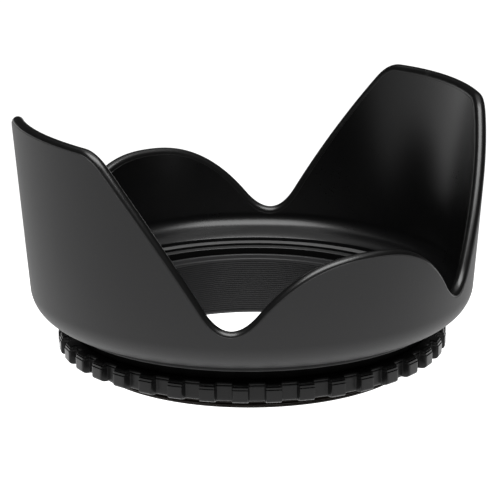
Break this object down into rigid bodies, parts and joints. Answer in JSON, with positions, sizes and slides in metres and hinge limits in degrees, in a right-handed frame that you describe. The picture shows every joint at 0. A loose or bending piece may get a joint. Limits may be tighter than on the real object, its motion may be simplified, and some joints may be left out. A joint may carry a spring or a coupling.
{
  "type": "lens hood",
  "caption": "Screw-in petal lens hood: a shell of long and short petals that swivels on a threaded mount ring and is locked by a knurled collar.",
  "frame": {"origin": "centre of the mount ring's lens end, which is the lowest face", "axes": "+Z along the optical axis from the lens towards the scene, X through the centres of the two long petals, Y through the centres of the two short petals"},
  "size_m": [0.0836, 0.0808, 0.0461],
  "materials": {
    "shell": "finely sparked matte black plastic with a glossier rounded rim",
    "mount": "satin brownish black plastic",
    "sleeve": "matte black plastic with fine light-trap ribs",
    "slip": "smooth dark nylon",
    "clamp": "smooth black nylon",
    "collar": "semi-gloss black plastic"
  },
  "bodies": {
    "mount": {"mount_ring": "mount", "baffle_sleeve": "sleeve", "slip_washer": "slip"},
    "hood": {"hood_shell": "shell"},
    "washer": {"clamp_washer": "clamp"},
    "collar": {"lock_collar": "collar"}
  },
  "joints": [
    {"name": "hood_swivel", "type": "hinge", "parent": "mount", "child": "hood", "pos_m": [0, 0, 0.0085], "axis": [0, 0, 1], "continuous": true},
    {"name": "washer_slide", "type": "slide", "parent": "mount", "child": "washer", "axis": [0, 0, 1], "range_m": [-0.00101, 0]},
    {"name": "collar_turn", "type": "hinge", "parent": "washer", "child": "collar", "pos_m": [0, 0, 0.005], "axis": [0, 0, 1], "range_deg": [-360, 0]}
  ],
  "couplings": [
    {"joint": "washer_slide", "follows": "collar_turn", "m_per_rad": 0.00015915}
  ]
}
